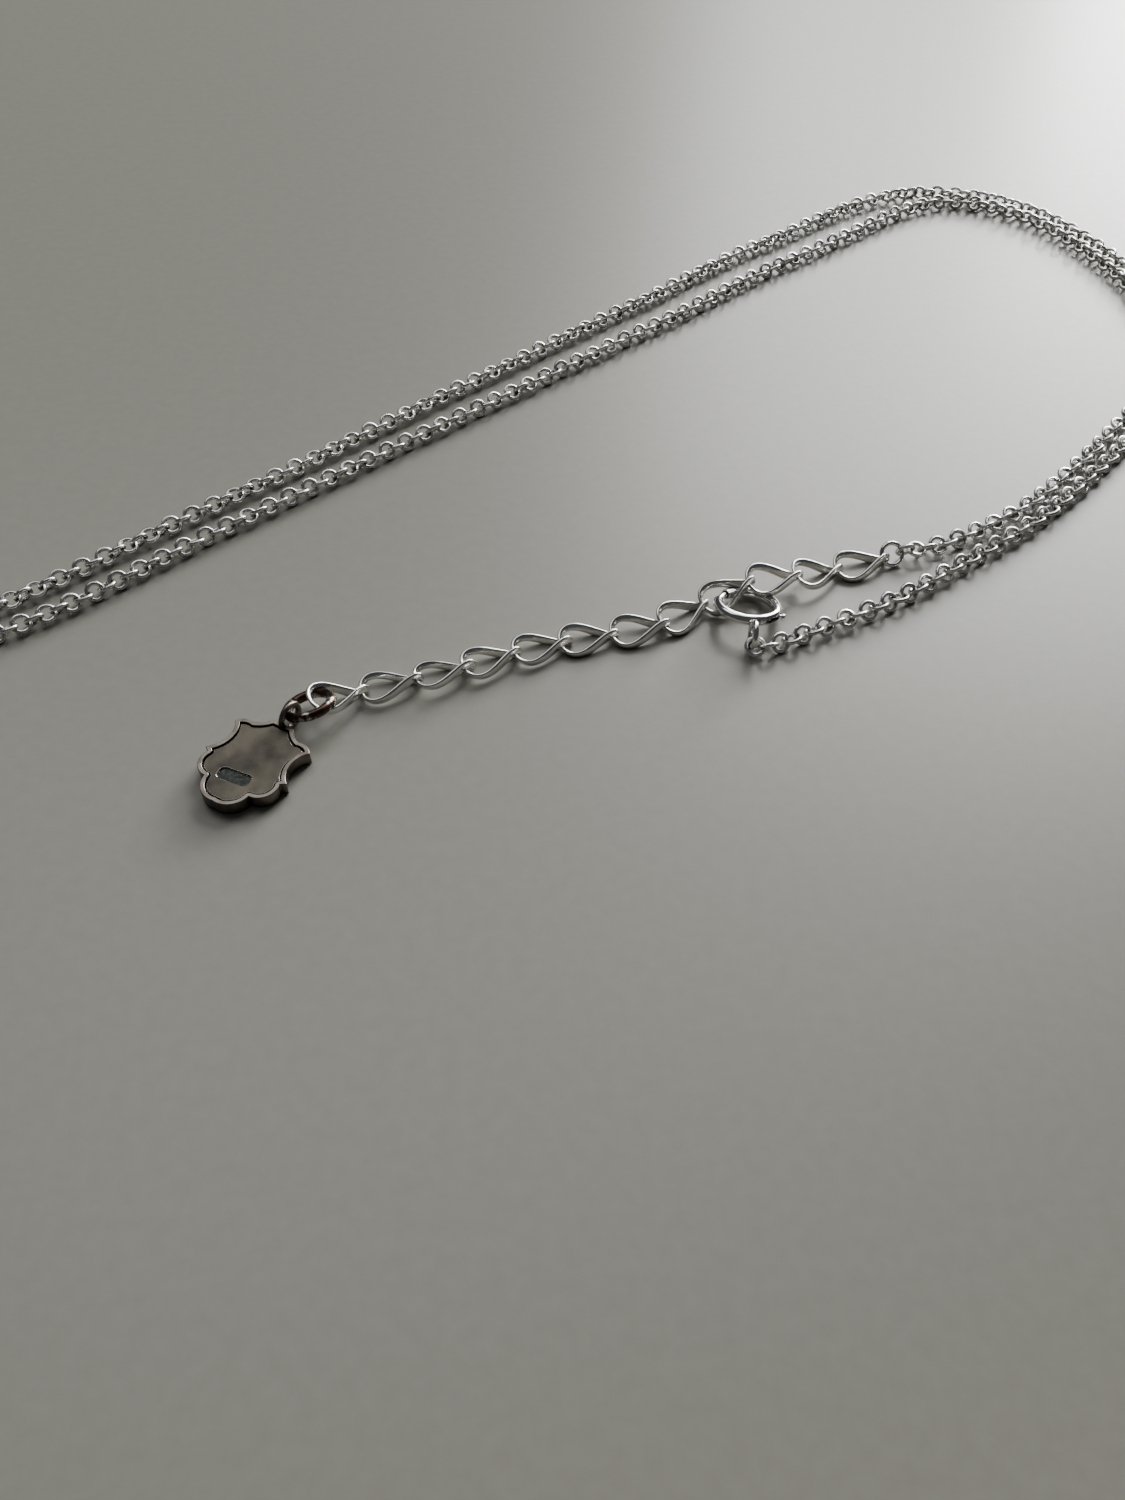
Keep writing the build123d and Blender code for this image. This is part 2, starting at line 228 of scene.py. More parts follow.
@dataclass(frozen=True)
class Finish:
    """A worn metal surface.

    Lengths are in millimetres. The patches are where the second colour shows. Within the reach of
    the neighbouring metal, ambient occlusion darkens the colour towards a near-black: this is
    painted shade in gaps, grooves and under the pieces, together with some tarnish. The roughness
    clouds between polish and dullness, in clouds a little smaller than the patches.
    """

    name: str
    colour: Colour
    patch_colour: Colour
    shade_tarnish_colour: Colour
    patch_size: float = 1.6
    patch_from: float = 0.45
    patch_to: float = 0.75
    patch_share: float = 0.5
    # Painted shade with some tarnish: how far, how dark and over which occlusion range the base
    # colour darkens
    shade_tarnish_reach: float = 0.35
    shade_tarnish_share: float = 0.9
    shade_tarnish_from: float = 0.75
    shade_tarnish_to: float = 0.2
    shade_tarnish_rays: int = 8
    polish: float = 0.12
    dullness: float = 0.32
    cloud_share: float = 0.6
    cloud_from: float = 0.3
    cloud_to: float = 0.7
    grain_size: float = 0.12
    grain_depth: float = 0.004
    ripple_size: float = 1.1
    ripple_depth: float = 0.02
    metallic: float = 1.0
    patch_detail: float = 4
    cloud_detail: float = 6
    grain_detail: float = 3
    ripple_detail: float = 1

    def material(self) -> bpy.types.Material:
        """Build the node material.

        Returns:
            The finished material.
        """
        paint = Painter(self.name)
        shader, links = paint.shader, paint.links
        shader.inputs["Metallic"].default_value = self.metallic

        spots = paint.noise(per_metre(self.patch_size), self.patch_detail)
        patches = paint.spread(spots, self.patch_from, self.patch_to, 0, self.patch_share)
        # Painted shade with some tarnish: ambient occlusion mixes the base colour towards the
        # near-black in gaps, grooves and under the pieces
        occlusion = paint.nodes.new("ShaderNodeAmbientOcclusion")
        occlusion.samples = self.shade_tarnish_rays
        occlusion.inputs["Distance"].default_value = self.shade_tarnish_reach * MM
        shade_and_tarnish = paint.spread(
            occlusion.outputs["AO"], self.shade_tarnish_from, self.shade_tarnish_to, 0, self.shade_tarnish_share
        )
        patched = paint.mixed(patches, paint.plain(self.colour), self.patch_colour)
        links.new(paint.mixed(shade_and_tarnish, patched, self.shade_tarnish_colour), shader.inputs["Base Color"])

        clouds = paint.noise(per_metre(self.patch_size * self.cloud_share), self.cloud_detail)
        cloudy = paint.spread(clouds, self.cloud_from, self.cloud_to, self.polish, self.dullness)
        links.new(cloudy, shader.inputs["Roughness"])
        swell = paint.noise(per_metre(self.ripple_size), self.ripple_detail)
        ripples = paint.bump(swell, self.ripple_depth)
        specks = paint.noise(per_metre(self.grain_size), self.grain_detail)
        grain = paint.bump(specks, self.grain_depth)
        links.new(ripples.outputs["Normal"], grain.inputs["Normal"])
        links.new(grain.outputs["Normal"], shader.inputs["Normal"])
        return paint.material


SILVER = (0.90, 0.89, 0.86)
GREY_SILVER = (0.42, 0.41, 0.38)
# Near-black that the occlusion darkening mixes in: painted shade, with some tarnish in the hollows
SHADE_TARNISH_DARK = (0.035, 0.032, 0.028)

FINISHES = {
    # The chain's strong occlusion darkening is painted shade in its gaps and on the undersides of
    # its links
    Slot.CHAIN: Finish(
        "chain silver",
        SILVER,
        GREY_SILVER,
        SHADE_TARNISH_DARK,
        shade_tarnish_reach=0.5,
        shade_tarnish_from=0.85,
        shade_tarnish_to=0.35,
        polish=0.20,
        dullness=0.36,
    ),
    Slot.EXTENDER: Finish(
        "extender silver",
        SILVER,
        GREY_SILVER,
        SHADE_TARNISH_DARK,
        patch_size=2.4,
        polish=0.14,
        dullness=0.26,
    ),
    Slot.CLASP: Finish(
        "clasp silver",
        (0.94, 0.93, 0.90),
        GREY_SILVER,
        SHADE_TARNISH_DARK,
        patch_share=0.25,
        polish=0.08,
        dullness=0.18,
    ),
    # The tag's occlusion darkening paints shade into its groove and onto its lower walls near the
    # table
    Slot.TAG: Finish(
        "cast tag silver",
        (0.25, 0.225, 0.195),
        (0.10, 0.08, 0.065),
        (0.012, 0.010, 0.008),
        patch_size=1.3,
        patch_share=0.85,
        shade_tarnish_reach=0.42,
        shade_tarnish_from=0.95,
        shade_tarnish_to=0.64,
        polish=0.22,
        dullness=0.40,
        grain_depth=0.008,
    ),
    Slot.PLATE: Finish(
        "dark back plate",
        (0.050, 0.046, 0.038),
        (0.135, 0.120, 0.092),
        (0.006, 0.006, 0.005),
        patch_size=2.6,
        patch_from=0.38,
        patch_to=0.66,
        patch_share=0.9,
        shade_tarnish_reach=0.30,
        shade_tarnish_from=0.88,
        shade_tarnish_to=0.55,
        polish=0.32,
        dullness=0.52,
        grain_depth=0.012,
        metallic=0.75,
    ),
    Slot.OXIDISED: Finish(
        "oxidised ring",
        (0.085, 0.052, 0.040),
        (0.78, 0.75, 0.70),
        (0.008, 0.006, 0.005),
        patch_size=1.2,
        patch_from=0.52,
        patch_to=0.60,
        patch_share=0.92,
        polish=0.2,
        dullness=0.36,
    ),
    Slot.SPRING: Finish(
        "spring steel", (0.45, 0.45, 0.45), (0.25, 0.24, 0.23), SHADE_TARNISH_DARK, patch_size=0.8
    ),
}
WORN_EDGE = Finish(
    "worn plate edge", (0.66, 0.64, 0.59), GREY_SILVER, SHADE_TARNISH_DARK, shade_tarnish_reach=0.12, shade_tarnish_share=0.6
)
STAMPED = Finish(
    "stamped hollow",
    (0.030, 0.034, 0.030),
    (0.10, 0.105, 0.095),
    SHADE_TARNISH_DARK,
    patch_size=0.4,
    dullness=0.5,
)


class Wardrobe:
    """Every finish made once, and the dressing of a piece in one of them."""

    def __init__(self) -> None:
        """Make the materials."""
        self.metals = {slot: finish.material() for slot, finish in FINISHES.items()}

    def dress(self, piece: bpy.types.Object, slot: Slot, body: str, *nodes: str) -> None:
        """Give a piece its finish, its body and the solids it stands for.

        Args:
            piece: The finished mesh object, at the origin.
            slot: The record's material slot.
            body: The body that carries it.
            nodes: The solids that it replaces.
        """
        if not piece.data.materials:
            piece.data.materials.append(self.metals[slot])
        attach(piece, body)
        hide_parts(*nodes)
        LOG.info("%s rides on %s, %d faces", piece.name, body, len(piece.data.polygons))


# ---------------------------------------------------------------------------------------------
# Reading the solids
# ---------------------------------------------------------------------------------------------


@dataclass(frozen=True)
class Solid:
    """One closed solid of a node: its merged points, its middle and its axes.

    The axes are unit rows, from the solid's longest direction to its shortest.
    """

    points: np.ndarray
    middle: np.ndarray
    axes: np.ndarray


def merged_mesh(node: str) -> tuple[np.ndarray, np.ndarray]:
    """Merge the loose triangles of a node.

    Args:
        node: The node's name.

    Returns:
        Its points, in metres, and its triangles as rows of three point numbers.
    """
    mesh = frame["nodes"][node].data
    loose = np.zeros(len(mesh.vertices) * 3)
    mesh.vertices.foreach_get("co", loose)
    mesh.calc_loop_triangles()
    corners = np.zeros(len(mesh.loop_triangles) * 3, int)
    mesh.loop_triangles.foreach_get("vertices", corners)
    loose = loose.reshape(-1, 3)
    steps = np.round((loose - loose.min(0)) / (MERGE_STEP * MM)).astype(np.int64)
    keys = (steps[:, 0] << 2 * KEY_BITS) + (steps[:, 1] << KEY_BITS) + steps[:, 2]
    _, first, number = np.unique(keys, return_index=True, return_inverse=True)
    triangles = number[corners].reshape(-1, 3)
    whole = (
        (triangles[:, 0] != triangles[:, 1])
        & (triangles[:, 1] != triangles[:, 2])
        & (triangles[:, 2] != triangles[:, 0])
    )
    return loose[first], triangles[whole]


def solids_of(node: str) -> list[Solid]:
    """Part a node into its closed solids.

    Args:
        node: The node's name.

    Returns:
        One entry for each solid.
    """
    points, triangles = merged_mesh(node)
    label = np.arange(len(points))
    while True:
        lowest = label[triangles].min(axis=1)
        spread = label.copy()
        np.minimum.at(spread, triangles.ravel(), np.repeat(lowest, 3))
        spread = spread[spread]
        if (spread == label).all():
            break
        label = spread
    found = []
    for root in np.unique(label[triangles[:, 0]]):
        own = points[label == root]
        middle = own.mean(0)
        _, axes = np.linalg.eigh(np.cov((own - middle).T))
        found.append(Solid(own, middle, axes.T[::-1]))
    return found


def body_of(node: str) -> str:
    """The name of the body that carries a node."""
    return frame["nodes"][node]["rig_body"]


def mesh_object(name: str, points: np.ndarray, faces: list[tuple[int, ...]]) -> bpy.types.Object:
    """Make a smooth mesh object at the origin.

    Args:
        name: The piece's name.
        points: Its points, in metres.
        faces: Its faces as tuples of point numbers.

    Returns:
        The linked object.
    """
    mesh = bpy.data.meshes.new(name)
    mesh.from_pydata([tuple(p) for p in points], [], faces)
    mesh.shade_smooth()
    piece = bpy.data.objects.new(name, mesh)
    bpy.context.scene.collection.objects.link(piece)
    return piece


def swept_faces(stations: int, around: int, closed: bool) -> list[tuple[int, ...]]:
    """The faces of a tube of stations, each a loop of points.

    Args:
        stations: How many loops there are.
        around: How many points are in a loop.
        closed: Whether the last loop joins the first. Open ends are capped.

    Returns:
        The faces, pointing out where the loops run anticlockwise as seen from ahead.
    """
    faces: list[tuple[int, ...]] = []
    for i in range(stations if closed else stations - 1):
        ahead = (i + 1) % stations
        for j in range(around):
            beside = (j + 1) % around
            near, far = i * around, ahead * around
            faces.append((near + j, near + beside, far + beside, far + j))
    if not closed:
        faces.append(tuple(reversed(range(around))))
        faces.append(tuple((stations - 1) * around + j for j in range(around)))
    return faces


# ---------------------------------------------------------------------------------------------
# Cast and turned pieces that keep their solid's shape, with softened edges
# ---------------------------------------------------------------------------------------------


def softened(node: str, name: str, edge: float, steps: int = 3) -> bpy.types.Object:
    """Copy a node's solid and soften its sharp edges.

    Args:
        node: The node's name.
        name: The piece's name.
        edge: How wide the softened edge is, in millimetres.
        steps: How many faces cross the softened edge.

    Returns:
        The piece, with its modifier live.
    """
    points, triangles = merged_mesh(node)
    piece = mesh_object(name, points, [tuple(int(i) for i in t) for t in triangles])
    shape = bmesh.new()
    shape.from_mesh(piece.data)
    bmesh.ops.dissolve_limit(
        shape,
        angle_limit=math.radians(FLAT_WITHIN),
        verts=shape.verts[:],
        edges=shape.edges[:],
        delimit={"NORMAL"},
    )
    shape.to_mesh(piece.data)
    shape.free()
    piece.data.shade_smooth()
    round_off = piece.modifiers.new("softened edges", "BEVEL")
    round_off.width = edge * MM
    round_off.segments = steps
    round_off.limit_method = "ANGLE"
    round_off.angle_limit = math.radians(SHARP_ABOVE)
    round_off.harden_normals = True
    return piece


# ---------------------------------------------------------------------------------------------
# Rolo chain
# ---------------------------------------------------------------------------------------------


@dataclass
class RoloChain:
    """Round links strung through each other, read from the solids' places.

    Lengths are in millimetres and angles in degrees. The links are rolled about the chain's run,
    with a slow twist to either side as the chain goes on, and each sways a little by itself.
    """

    outer_diameter: float = 1.90
    wire: float = 0.40
    ring_steps: int = 16
    wire_steps: int = 6
    sway: float = 6
    roll: float = -8
    twist: float = 13
    twist_length: float = 11.5
    seed: int = 7

    def inputs(self) -> tuple[tuple[str, str, float], ...]:
        """List the link tree's own sizes.

        Returns:
            Each input's name, kind and value.
        """
        return (
            ("Ring Radius", "NodeSocketFloat", (self.outer_diameter - self.wire) / 2 * MM),
            ("Wire Radius", "NodeSocketFloat", self.wire / 2 * MM),
            ("Ring Steps", "NodeSocketInt", self.ring_steps),
            ("Wire Steps", "NodeSocketInt", self.wire_steps),
            ("Sway", "NodeSocketFloat", math.radians(self.sway)),
            ("Seed", "NodeSocketInt", self.seed),
        )

    def tree(self) -> bpy.types.NodeTree:
        """Build the node group that sets a link on every point, facing its own way.

        Returns:
            The node group, with its sizes as named inputs.
        """
        tree = bpy.data.node_groups.new("rolo links", "GeometryNodeTree")
        face = tree.interface
        face.new_socket("Geometry", in_out="OUTPUT", socket_type="NodeSocketGeometry")
        face.new_socket("Geometry", in_out="INPUT", socket_type="NodeSocketGeometry")
        for name, kind, value in self.inputs():
            face.new_socket(name, in_out="INPUT", socket_type=kind).default_value = value
        face.new_socket("Finish", in_out="INPUT", socket_type="NodeSocketMaterial")
        nodes, links = tree.nodes, tree.links
        given = nodes.new("NodeGroupInput").outputs
        result = nodes.new("NodeGroupOutput")

        ring = nodes.new("GeometryNodeCurvePrimitiveCircle")
        links.new(given["Ring Steps"], ring.inputs["Resolution"])
        links.new(given["Ring Radius"], ring.inputs["Radius"])
        section = nodes.new("GeometryNodeCurvePrimitiveCircle")
        links.new(given["Wire Steps"], section.inputs["Resolution"])
        links.new(given["Wire Radius"], section.inputs["Radius"])
        link = nodes.new("GeometryNodeCurveToMesh")
        links.new(ring.outputs["Curve"], link.inputs["Curve"])
        links.new(section.outputs["Curve"], link.inputs["Profile Curve"])

        facing = nodes.new("GeometryNodeInputNamedAttribute")
        facing.data_type = "FLOAT_VECTOR"
        facing.inputs["Name"].default_value = "link_axis"
        aligned = nodes.new("FunctionNodeAlignRotationToVector")
        aligned.axis = "Z"
        links.new(facing.outputs["Attribute"], aligned.inputs["Vector"])
        spin = nodes.new("FunctionNodeRandomValue")
        spin.data_type = "FLOAT_VECTOR"
        links.new(given["Seed"], spin.inputs["Seed"])
        least = nodes.new("ShaderNodeCombineXYZ")
        most = nodes.new("ShaderNodeCombineXYZ")
        back = nodes.new("ShaderNodeMath")
        back.operation = "MULTIPLY"
        back.inputs[1].default_value = -1
        links.new(given["Sway"], back.inputs[0])
        for axis in ("X", "Y"):
            links.new(back.outputs[0], least.inputs[axis])
            links.new(given["Sway"], most.inputs[axis])
        most.inputs["Z"].default_value = TURN
        links.new(least.outputs[0], spin.inputs[0])
        links.new(most.outputs[0], spin.inputs[1])
        about = nodes.new("FunctionNodeEulerToRotation")
        links.new(spin.outputs[0], about.inputs[0])
        turned = nodes.new("FunctionNodeRotateRotation")
        turned.rotation_space = "LOCAL"
        links.new(aligned.outputs["Rotation"], turned.inputs["Rotation"])
        links.new(about.outputs["Rotation"], turned.inputs["Rotate By"])

        strung = nodes.new("GeometryNodeInstanceOnPoints")
        links.new(given["Geometry"], strung.inputs["Points"])
        links.new(link.outputs["Mesh"], strung.inputs["Instance"])
        links.new(turned.outputs["Rotation"], strung.inputs["Rotation"])
        real = nodes.new("GeometryNodeRealizeInstances")
        links.new(strung.outputs["Instances"], real.inputs["Geometry"])
        smooth = nodes.new("GeometryNodeSetShadeSmooth")
        links.new(real.outputs["Geometry"], smooth.inputs["Geometry"])
        dressed = nodes.new("GeometryNodeSetMaterial")
        links.new(smooth.outputs["Geometry"], dressed.inputs["Geometry"])
        links.new(given["Finish"], dressed.inputs["Material"])
        links.new(dressed.outputs["Geometry"], result.inputs["Geometry"])
        return tree

    def link_axes(self, rings: list[Solid]) -> np.ndarray:
        """Turn each link about its chain's run, by a slow twist along the table.

        Args:
            rings: The links' solids.

        Returns:
            The links' own axes, one row each.
        """
        middles = np.array([ring.middle for ring in rings])
        axes = np.empty_like(middles)
        for number, ring in enumerate(rings):
            away = np.linalg.norm(middles - middles[number], axis=1)
            away[number] = np.inf
            run = Vector(middles[away.argmin()] - middles[number]).normalized()
            if run.x < 0:
                run.negate()
            phase = (middles[number][0] + middles[number][1] / 2) / (self.twist_length * MM)
            turn = math.radians(self.roll + self.twist * math.sin(TURN * phase))
            axis = Vector(ring.axes[2] * (1 if ring.axes[2][2] > 0 else -1))
            axes[number] = Quaternion(run, turn) @ axis
        return axes

    def string_up(
        self, tree: bpy.types.NodeTree, body: str, nodes: list[str], wardrobe: Wardrobe
    ) -> None:
        """Make one body's links.

        Args:
            tree: The link tree.
            body: The body that carries the links.
            nodes: The solids that the links replace.
            wardrobe: The finishes.
        """
        rings = [solid for node in nodes for solid in solids_of(node)]
        points = bpy.data.meshes.new(f"{body} points")
        points.from_pydata([tuple(ring.middle) for ring in rings], [], [])
        facing = points.attributes.new("link_axis", "FLOAT_VECTOR", "POINT")
        facing.data.foreach_set("vector", self.link_axes(rings).astype(np.float32).ravel())
        string = bpy.data.objects.new(f"{body} string", points)
        bpy.context.scene.collection.objects.link(string)
        modifier = string.modifiers.new("links", "NODES")
        modifier.node_group = tree
        values = {name: value for name, _, value in self.inputs()}
        values["Finish"] = wardrobe.metals[Slot.CHAIN]
        for item in tree.interface.items_tree:
            if item.in_out == "INPUT" and item.name in values:
                modifier[item.identifier] = values[item.name]
        depsgraph = bpy.context.evaluated_depsgraph_get()
        made = bpy.data.meshes.new_from_object(string.evaluated_get(depsgraph), depsgraph=depsgraph)
        string.modifiers.remove(modifier)
        bpy.data.objects.remove(string)
        made.name = f"rolo_{body}"
        # A twisted link is kept within the solids' box, which flattens it a little underneath
        low, high = CAD_BOX
        for corner in made.vertices:
            for axis in range(3):
                corner.co[axis] = min(max(corner.co[axis], low[axis]), high[axis])
        piece = bpy.data.objects.new(f"rolo_{body}", made)
        bpy.context.scene.collection.objects.link(piece)
        wardrobe.dress(piece, Slot.CHAIN, body, *nodes)

    def build(self, wardrobe: Wardrobe) -> None:
        """Make the links of every body that carries some.

        Args:
            wardrobe: The finishes.
        """
        tree = self.tree()
        for body, empty in frame["bodies"].items():
            held = (name for name, solid in frame["nodes"].items() if solid.parent is empty)
            nodes = sorted(name for name in held if "chain" in name)
            if nodes:
                self.string_up(tree, body, nodes, wardrobe)


# ---------------------------------------------------------------------------------------------
# Extender
# ---------------------------------------------------------------------------------------------


@dataclass
class Extender:
    """Twelve teardrop links of flattened wire, each with a quarter turn in it, and an end ring.

    Lengths are in millimetres and angles in degrees. The ribbon's widths run from the wide end to
    the narrow end, and its outward way is reckoned from the heart, a share of the link's length.
    """

    length: float = 5.00
    half_width: float = 1.45
    half_height: float = 0.44
    wire: float = 0.45
    ribbon_thickness: float = 0.31
    ribbon_widths: tuple[float, ...] = (0.56, 0.60, 0.66, 0.76, 0.84, 0.72, 0.46)
    path_steps: int = 64
    around_steps: int = 12
    squareness: float = 0.6
    flare: float = 0.6
    heart: float = 0.45
    across_fade: int = 2
    upright_fade: int = 4
    stand: tuple[float, float, float] = (-0.10, 0.28, 1.0)
    settle_roll: float = 9
    settle_drop: float = 0.20
    end_ring_outer_diameter: float = 2.40
    end_ring_wire: float = 0.40

    def centre_line(self) -> np.ndarray:
        """Draw the link's closed centre-line, from the middle of the flat wide end.

        Returns:
            Its points, in the link's own axes.
        """
        turn = np.arange(self.path_steps) * TURN / self.path_steps
        along = self.length / 2 * (1 - np.cos(turn))
        across = np.sin(turn) * np.cos(turn / 2) ** self.across_fade
        upright = np.sin(turn) * np.sin(turn / 2) ** self.upright_fade
        across *= -self.half_width / np.abs(across).max()
        upright *= self.half_height / np.abs(upright).max()
        return np.stack([along, across, upright], axis=1)

    def ribbon(self, stand: np.ndarray) -> np.ndarray:
        """Sweep the flattened wire round the link, standing on edge, with the wide end flared.

        Args:
            stand: The way that the wire's broad side stands, in the link's own axes.

        Returns:
            The link's points, station by station, in its own axes.
        """
        line = self.centre_line()
        way = np.roll(line, -1, 0) - np.roll(line, 1, 0)
        way /= np.linalg.norm(way, axis=1)[:, None]
        out = line - np.array([self.length * self.heart, 0, 0])
        out /= np.linalg.norm(out, axis=1)[:, None]
        broad = stand + self.flare * out * np.maximum(-out[:, :1], 0)
        broad -= (broad * way).sum(1)[:, None] * way
        broad /= np.linalg.norm(broad, axis=1)[:, None]
        out = np.cross(broad, way)
        turn = np.arange(self.around_steps) * TURN / self.around_steps
        thick = np.sign(np.cos(turn)) * np.abs(np.cos(turn)) ** self.squareness
        thick = thick * self.ribbon_thickness / 2
        wide = np.sign(np.sin(turn)) * np.abs(np.sin(turn)) ** self.squareness / 2
        share = 1 - np.abs(1 - np.arange(self.path_steps) * 2 / self.path_steps)
        widths = np.interp(share, np.linspace(0, 1, len(self.ribbon_widths)), self.ribbon_widths)
        broad *= widths[:, None]
        loops = line[:, None] + out[:, None] * thick[None, :, None]
        loops = loops + broad[:, None] * wide[None, :, None]
        return loops.reshape(-1, 3)

    def axes_of(self, solid: Solid) -> tuple[np.ndarray, np.ndarray]:
        """Find how a link's solid lies.

        Args:
            solid: The link's solid.

        Returns:
            The middle of its wide end's wire, and its three axes as rows.
        """
        along = solid.axes[0]
        spots = (solid.points - solid.middle) @ along
        flat = solid.points - solid.middle - spots[:, None] * along
        reach = np.linalg.norm(flat, axis=1)
        third = self.length * MM / 3
        tail = spots < spots.min() + third
        head = spots > spots.max() - third
        if reach[tail].max() < reach[head].max():
            along, spots, tail = -along, -spots, head
        _, ways = np.linalg.eigh(np.cov(flat[tail].T))
        across = ways[:, 2]
        corner = spots.min() + self.wire / 2 * MM
        return solid.middle + corner * along, np.array([along, across, np.cross(along, across)])

    def settled(self, foot: np.ndarray, axes: np.ndarray) -> tuple[np.ndarray, np.ndarray]:
        """Lay a link a little lower and flatter, as its thin ribbon lies.

        Args:
            foot: The middle of the wide end's wire.
            axes: The link's axes as rows.

        Returns:
            The settled middle and axes.
        """
        along, across, upright = axes
        flatter = -math.copysign(math.radians(self.settle_roll), across[2])
        rolled = math.cos(flatter) * across + math.sin(flatter) * upright
        if abs(rolled[2]) > abs(across[2]):
            rolled = math.cos(flatter) * across - math.sin(flatter) * upright
        dropped = foot - (0, 0, self.settle_drop * MM)
        return dropped, np.array([along, rolled, np.cross(along, rolled)])

    def build(self, wardrobe: Wardrobe) -> None:
        """Make the links and the end ring.

        Args:
            wardrobe: The finishes.
        """
        faces = swept_faces(self.path_steps, self.around_steps, closed=True)
        for node in sorted(n for n in frame["nodes"] if n.startswith("extender_link")):
            foot, axes = self.settled(*self.axes_of(solids_of(node)[0]))
            points = foot + self.ribbon(axes @ self.stand) @ axes * MM
            points[:, 2] = np.maximum(points[:, 2], CAD_BOX[0][2])
            piece = mesh_object(f"teardrop_{node[-2:]}", points, faces)
            wardrobe.dress(piece, Slot.EXTENDER, body_of(node), node)
        node = "extender_end_ring"
        ring = round_ring("end_ring", node, self.end_ring_outer_diameter, self.end_ring_wire)
        wardrobe.dress(ring, Slot.EXTENDER, body_of(node), node)


def round_ring(
    name: str, node: str, outer_diameter: float, wire: float, seam: float = 0, seam_at: float = 0
) -> bpy.types.Object:
    """Make a ring of round wire where a solid ring lies.

    Args:
        name: The piece's name.
        node: The solid ring that gives the place.
        outer_diameter: In millimetres.
        wire: The wire's diameter, in millimetres.
        seam: How wide the butted ends stand open, in millimetres. Zero makes a closed ring.
        seam_at: Where the ends meet, in degrees round the ring.

    Returns:
        The ring.
    """
    solid = solids_of(node)[0]
    axis = solid.axes[2]
    side = np.cross(axis, (0, 0, 1))
    side /= np.linalg.norm(side)
    up = np.cross(side, axis)
    radius = (outer_diameter - wire) / 2
    gap = seam / radius
    share = np.arange(RING_STEPS) / (RING_STEPS - (seam > 0))
    turns = np.radians(seam_at) + gap / 2 + share * (TURN - gap)
    out = np.cos(turns)[:, None] * side + np.sin(turns)[:, None] * up
    round_turn = -np.arange(RING_AROUND) * TURN / RING_AROUND
    loops = (
        out[:, None] * (radius + wire / 2 * np.cos(round_turn))[None, :, None]
        + axis * (wire / 2 * np.sin(round_turn))[None, :, None]
    )
    faces = swept_faces(RING_STEPS, RING_AROUND, closed=seam == 0)
    return mesh_object(name, solid.middle + loops.reshape(-1, 3) * MM, faces)


# ---------------------------------------------------------------------------------------------
# Clasp and tag
# ---------------------------------------------------------------------------------------------


@dataclass
class Clasp:
    """The bolt ring: tube, bolt, trigger, eye, and the spring coiled in the tube.

    Lengths are in millimetres and angles in degrees round the ring.
    """

    ring_radius: float = 2.525
    tube_edge: float = 0.05
    bolt_edge: float = 0.12
    trigger_edge: float = 0.03
    eye_edge: float = 0.02
    spring_wire: float = 0.10
    spring_radius: float = 0.22
    spring_from: float = 191
    spring_to: float = 261
    spring_turns: int = 15
    spring_turn_steps: int = 24
    spring_around: int = 6
    trigger_angle: float = -46

    def spring(self) -> bpy.types.Object:
        """Coil the spring along the ring inside the tube.

        Returns:
            The spring.
        """
        slide = next(joint for joint in frame["joints"] if joint["name"] == "bolt_slide")
        axis = -np.array(slide["axis"], float)
        centre = np.array(slide["pos_m"], float)
        head = solids_of("clasp_trigger")[0].middle - centre
        start = head - (head @ axis) * axis
        start /= np.linalg.norm(start)
        aside = np.cross(axis, start)
        steps, around = self.spring_turn_steps * self.spring_turns, self.spring_around
        share = np.linspace(0, 1, steps)
        reach = self.spring_to - self.spring_from
        ring = np.radians(self.spring_from - self.trigger_angle + share * reach)
        coil = share * TURN * self.spring_turns
        out = np.cos(ring)[:, None] * start + np.sin(ring)[:, None] * aside
        swing = out * np.cos(coil)[:, None] + axis * np.sin(coil)[:, None]
        line = out * self.ring_radius + swing * self.spring_radius
        way = np.gradient(line, axis=0)
        way /= np.linalg.norm(way, axis=1)[:, None]
        side = np.cross(way, swing)
        turn = np.arange(around) * TURN / around
        swings = swing[:, None] * np.cos(turn)[None, :, None]
        sides = side[:, None] * np.sin(turn)[None, :, None]
        loops = line[:, None] + self.spring_wire / 2 * (swings + sides)
        faces = swept_faces(steps, around, closed=False)
        return mesh_object("bolt_spring", centre + loops.reshape(-1, 3) * MM, faces)

    def build(self, wardrobe: Wardrobe) -> None:
        """Make the clasp's pieces.

        Args:
            wardrobe: The finishes.
        """
        for node, name, edge in (
            ("clasp_tube", "bolt_ring_tube", self.tube_edge),
            ("clasp_bolt", "bolt_ring_bolt", self.bolt_edge),
            ("clasp_trigger", "bolt_ring_trigger", self.trigger_edge),
            ("clasp_eye", "bolt_ring_eye", self.eye_edge),
        ):
            piece = softened(node, name, edge)
            wardrobe.dress(piece, Slot.CLASP, body_of(node), node)
        node = "clasp_spring"
        wardrobe.dress(self.spring(), Slot.SPRING, body_of(node), node)


class PlateFinish(Enum):
    """Where each finish stands in the plate's list of materials."""

    BACK = 0
    EDGE = 1
    STAMP = 2


